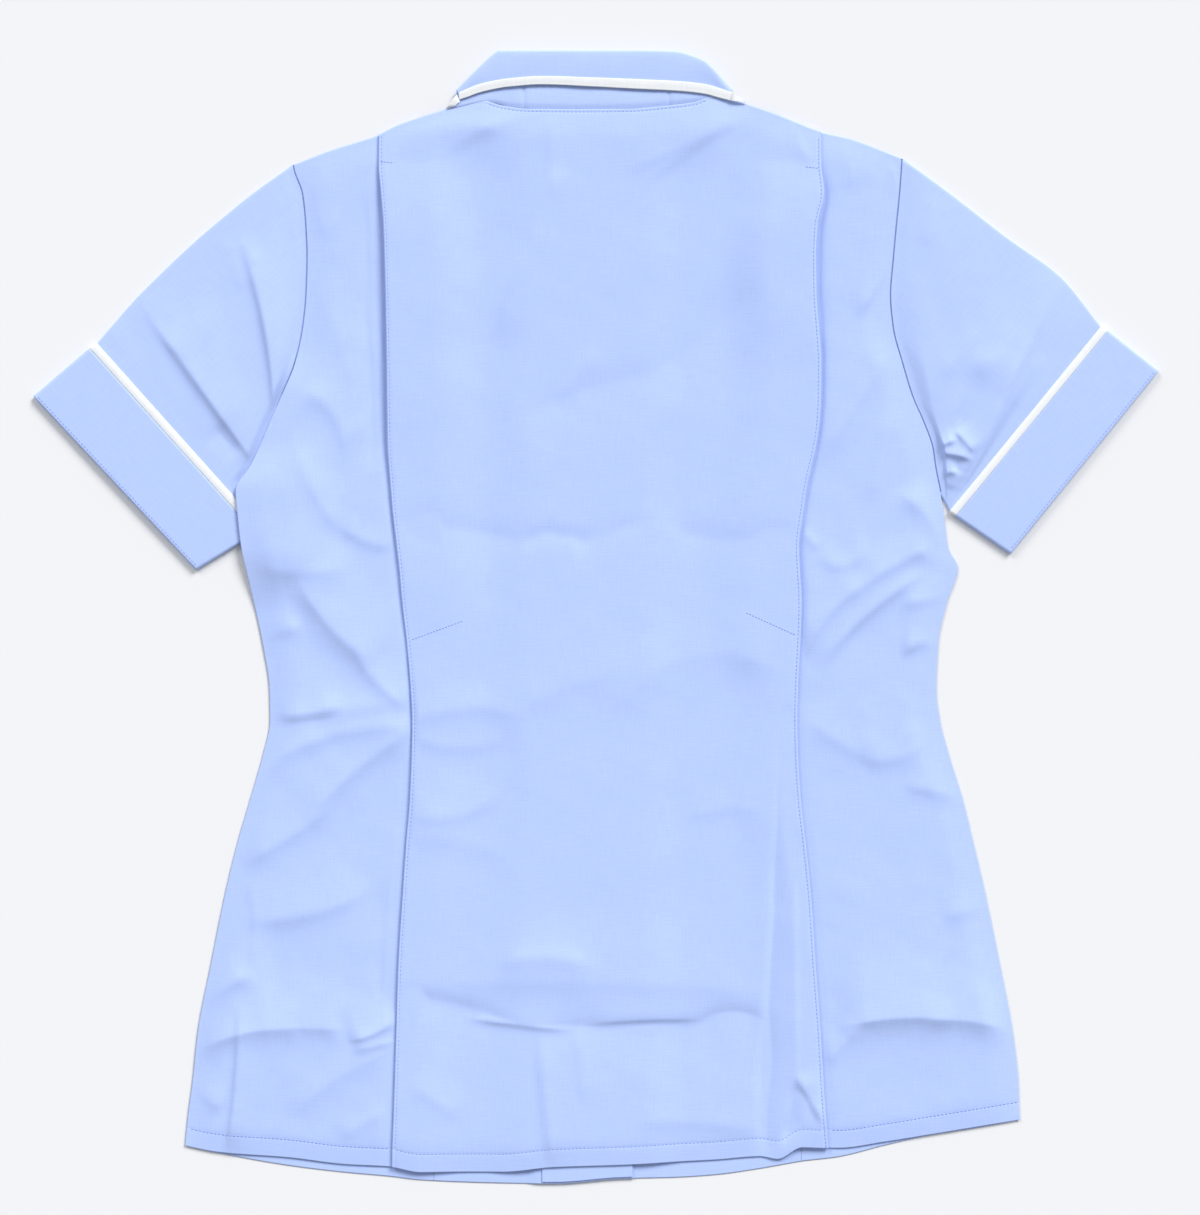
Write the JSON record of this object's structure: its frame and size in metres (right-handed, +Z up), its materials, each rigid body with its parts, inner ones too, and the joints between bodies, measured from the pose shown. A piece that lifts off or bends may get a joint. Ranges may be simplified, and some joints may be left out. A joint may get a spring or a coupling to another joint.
{
  "type": "healthcare tunic",
  "caption": "Short-sleeved women's healthcare tunic in light blue poly-cotton with white piping, laid flat on its front with its pleated back up.",
  "frame": {"origin": "bottom centre of the bounding box, on the surface that the tunic lies on", "axes": "+X to the right of the back as seen from above, +Y towards the collar, +Z up from the surface"},
  "size_m": [0.7763, 0.7809, 0.0091],
  "materials": {
    "blue_cloth": "light sky blue poly-cotton plain weave, matt with a faint sheen",
    "white_piping": "white cotton binding, matt"
  },
  "bodies": {
    "root": {"back_centre": "blue_cloth", "back_side_left": "blue_cloth", "back_side_right": "blue_cloth", "front_side_left": "blue_cloth", "front_centre_left": "blue_cloth", "front_facing_left": "blue_cloth", "front_centre_right": "blue_cloth", "front_side_right": "blue_cloth", "sleeve_left": "blue_cloth", "sleeve_right": "blue_cloth", "cuff_left": "blue_cloth", "cuff_right": "blue_cloth", "cuff_piping_left": "white_piping", "cuff_piping_right": "white_piping", "collar": "blue_cloth", "collar_end_left": "blue_cloth", "collar_end_right": "blue_cloth", "collar_piping": "white_piping"}
  },
  "joints": []
}
